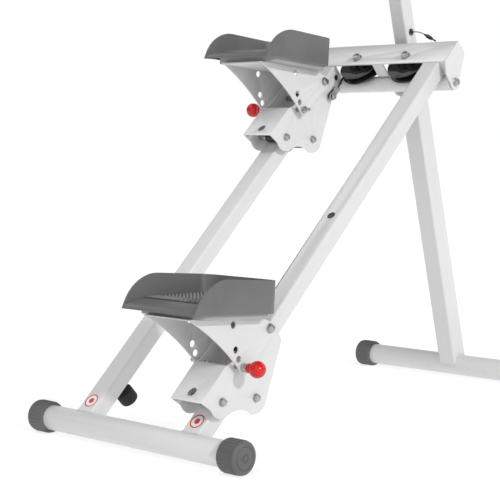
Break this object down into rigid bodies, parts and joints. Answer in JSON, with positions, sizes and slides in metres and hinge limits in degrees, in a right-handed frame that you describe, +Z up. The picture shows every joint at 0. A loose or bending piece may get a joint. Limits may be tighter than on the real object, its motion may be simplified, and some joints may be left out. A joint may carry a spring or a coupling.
{
  "type": "vertical climber machine",
  "caption": "Folding vertical climber: tilting foot pedals on roller carriages run up two inclined rails, tied by a cable over pulleys, with a rear post and handlebar mast.",
  "frame": {"origin": "on the floor under the middle of the overall box", "axes": "+X to the user's right, +Y from the front base towards the rear base, +Z up"},
  "size_m": [0.57, 1.1953, 1.3815],
  "materials": {
    "frame_paint": "white powder coat, satin",
    "zinc": "bright zinc plate",
    "cap_plastic": "dark grey moulded plastic",
    "tray_plastic": "dark grey textured plastic",
    "tread_rubber": "ribbed rubber",
    "black_plastic": "black, semi gloss",
    "roller_plastic": "black nylon",
    "cable_jacket": "black coating over steel rope",
    "bumper_rubber": "black rubber",
    "grip_foam": "ribbed rubber",
    "knob_red": "red, glossy",
    "label": "printed label",
    "console_plastic": "charcoal shell",
    "screen": "dark display window"
  },
  "bodies": {
    "frame": {"front_base": "frame_paint", "front_base_caps": "cap_plastic", "left_rail": "frame_paint", "right_rail": "frame_paint", "crossbeam": "frame_paint", "beam_end_plates": "frame_paint", "pulley_axles": "zinc", "fold_bolts": "zinc", "rail_sensor": "black_plastic", "rail_plug": "black_plastic", "rail_labels": "label", "bumper": "bumper_rubber", "bumper_stub": "zinc", "cable_middle": "cable_jacket"},
    "left_pulley_wheel": {"left_pulley": "black_plastic"},
    "right_pulley_wheel": {"right_pulley": "black_plastic"},
    "rear_frame": {"rear_base": "frame_paint", "rear_base_caps": "cap_plastic", "post": "frame_paint", "fold_tube": "frame_paint", "fold_bracket": "frame_paint", "open_stop": "bumper_rubber", "mast_guide": "black_plastic", "mast_knob": "black_plastic"},
    "mast_assembly": {"mast": "frame_paint", "lead_grommet": "black_plastic", "sensor_lead": "cable_jacket", "lead_plug": "black_plastic", "handlebar": "frame_paint", "left_grip": "grip_foam", "right_grip": "grip_foam", "bar_plugs": "black_plastic", "console_bracket": "frame_paint", "console": "console_plastic", "console_screen": "screen"},
    "button": {"console_button": "knob_red"},
    "right_carriage": {"right_housing": "frame_paint", "right_axles": "zinc", "right_cable_lug": "zinc", "cable_right": "cable_jacket"},
    "right_lower_roller_wheel": {"right_lower_roller": "roller_plastic"},
    "right_upper_roller_wheel": {"right_upper_roller": "roller_plastic"},
    "right_rear_roller_wheel": {"right_rear_roller": "roller_plastic"},
    "right_pedal": {"right_bracket": "frame_paint", "right_pivot_bolts": "zinc", "right_tray": "tray_plastic", "right_tread": "tread_rubber"},
    "right_lock_pin": {"right_pin": "knob_red"},
    "left_carriage": {"left_housing": "frame_paint", "left_axles": "zinc", "left_cable_lug": "zinc", "cable_left": "cable_jacket"},
    "left_lower_roller_wheel": {"left_lower_roller": "roller_plastic"},
    "left_upper_roller_wheel": {"left_upper_roller": "roller_plastic"},
    "left_rear_roller_wheel": {"left_rear_roller": "roller_plastic"},
    "left_pedal": {"left_bracket": "frame_paint", "left_pivot_bolts": "zinc", "left_tray": "tray_plastic", "left_tread": "tread_rubber"},
    "left_lock_pin": {"left_pin": "knob_red"}
  },
  "joints": [
    {"name": "fold", "type": "hinge", "parent": "frame", "child": "rear_frame", "pos_m": [0, 0.28098, 0.71574], "axis": [1, 0, 0], "range_deg": [-60, 0]},
    {"name": "mast_height", "type": "slide", "parent": "rear_frame", "child": "mast_assembly", "axis": [0, -0.2622, 0.965], "range_m": [-0.022, 0.09]},
    {"name": "button_press", "type": "slide", "parent": "mast_assembly", "child": "button", "axis": [0, -0.788, 0.6157], "range_m": [-0.0015, 0], "stiffness_N_per_m": 300, "springref_m": 0.002},
    {"name": "right_slide", "type": "slide", "parent": "frame", "child": "right_carriage", "axis": [0, 0.7337, 0.6794], "range_m": [0, 0.71], "deforming": ["cable_right"]},
    {"name": "left_slide", "type": "slide", "parent": "frame", "child": "left_carriage", "axis": [0, 0.7337, 0.6794], "range_m": [-0.71, 0], "deforming": ["cable_left"]},
    {"name": "right_lower_roller_turn", "type": "hinge", "parent": "right_carriage", "child": "right_lower_roller_wheel", "pos_m": [0.146, -0.47249, 0.11207], "axis": [1, 0, 0], "continuous": true},
    {"name": "right_upper_roller_turn", "type": "hinge", "parent": "right_carriage", "child": "right_upper_roller_wheel", "pos_m": [0.146, -0.3771, 0.2004], "axis": [1, 0, 0], "continuous": true},
    {"name": "right_rear_roller_turn", "type": "hinge", "parent": "right_carriage", "child": "right_rear_roller_wheel", "pos_m": [0.146, -0.37964, 0.10673], "axis": [1, 0, 0], "continuous": true},
    {"name": "right_tilt", "type": "hinge", "parent": "right_carriage", "child": "right_pedal", "pos_m": [0.146, -0.35868, 0.2379], "axis": [1, 0, 0], "range_deg": [0, 23]},
    {"name": "right_pin_pull", "type": "slide", "parent": "right_pedal", "child": "right_lock_pin", "axis": [1, 0, 0], "range_m": [0, 0.022], "stiffness_N_per_m": 600, "springref_m": -0.004},
    {"name": "left_lower_roller_turn", "type": "hinge", "parent": "left_carriage", "child": "left_lower_roller_wheel", "pos_m": [-0.146, 0.04846, 0.59447], "axis": [1, 0, 0], "continuous": true},
    {"name": "left_upper_roller_turn", "type": "hinge", "parent": "left_carriage", "child": "left_upper_roller_wheel", "pos_m": [-0.146, 0.14385, 0.6828], "axis": [1, 0, 0], "continuous": true},
    {"name": "left_rear_roller_turn", "type": "hinge", "parent": "left_carriage", "child": "left_rear_roller_wheel", "pos_m": [-0.146, 0.14131, 0.58914], "axis": [1, 0, 0], "continuous": true},
    {"name": "left_tilt", "type": "hinge", "parent": "left_carriage", "child": "left_pedal", "pos_m": [-0.146, 0.16227, 0.7203], "axis": [1, 0, 0], "range_deg": [0, 23]},
    {"name": "left_pin_pull", "type": "slide", "parent": "left_pedal", "child": "left_lock_pin", "axis": [-1, 0, 0], "range_m": [0, 0.022], "stiffness_N_per_m": 600, "springref_m": -0.004},
    {"name": "right_pulley_turn", "type": "hinge", "parent": "frame", "child": "right_pulley_wheel", "pos_m": [0.068, 0.27475, 0.75632], "axis": [0, -0.6794, 0.7337], "continuous": true},
    {"name": "left_pulley_turn", "type": "hinge", "parent": "frame", "child": "left_pulley_wheel", "pos_m": [-0.068, 0.27475, 0.75632], "axis": [0, -0.6794, 0.7337], "continuous": true}
  ],
  "couplings": [
    {"joint": "left_slide", "follows": "right_slide", "ratio": -1},
    {"joint": "right_lower_roller_turn", "follows": "right_slide", "rad_per_m": -90.909},
    {"joint": "right_upper_roller_turn", "follows": "right_slide", "rad_per_m": -90.909},
    {"joint": "right_rear_roller_turn", "follows": "right_slide", "rad_per_m": 50},
    {"joint": "right_pulley_turn", "follows": "right_slide", "rad_per_m": 26.316},
    {"joint": "left_lower_roller_turn", "follows": "right_slide", "rad_per_m": 90.909},
    {"joint": "left_upper_roller_turn", "follows": "right_slide", "rad_per_m": 90.909},
    {"joint": "left_rear_roller_turn", "follows": "right_slide", "rad_per_m": -50},
    {"joint": "left_pulley_turn", "follows": "right_slide", "rad_per_m": 26.316}
  ]
}
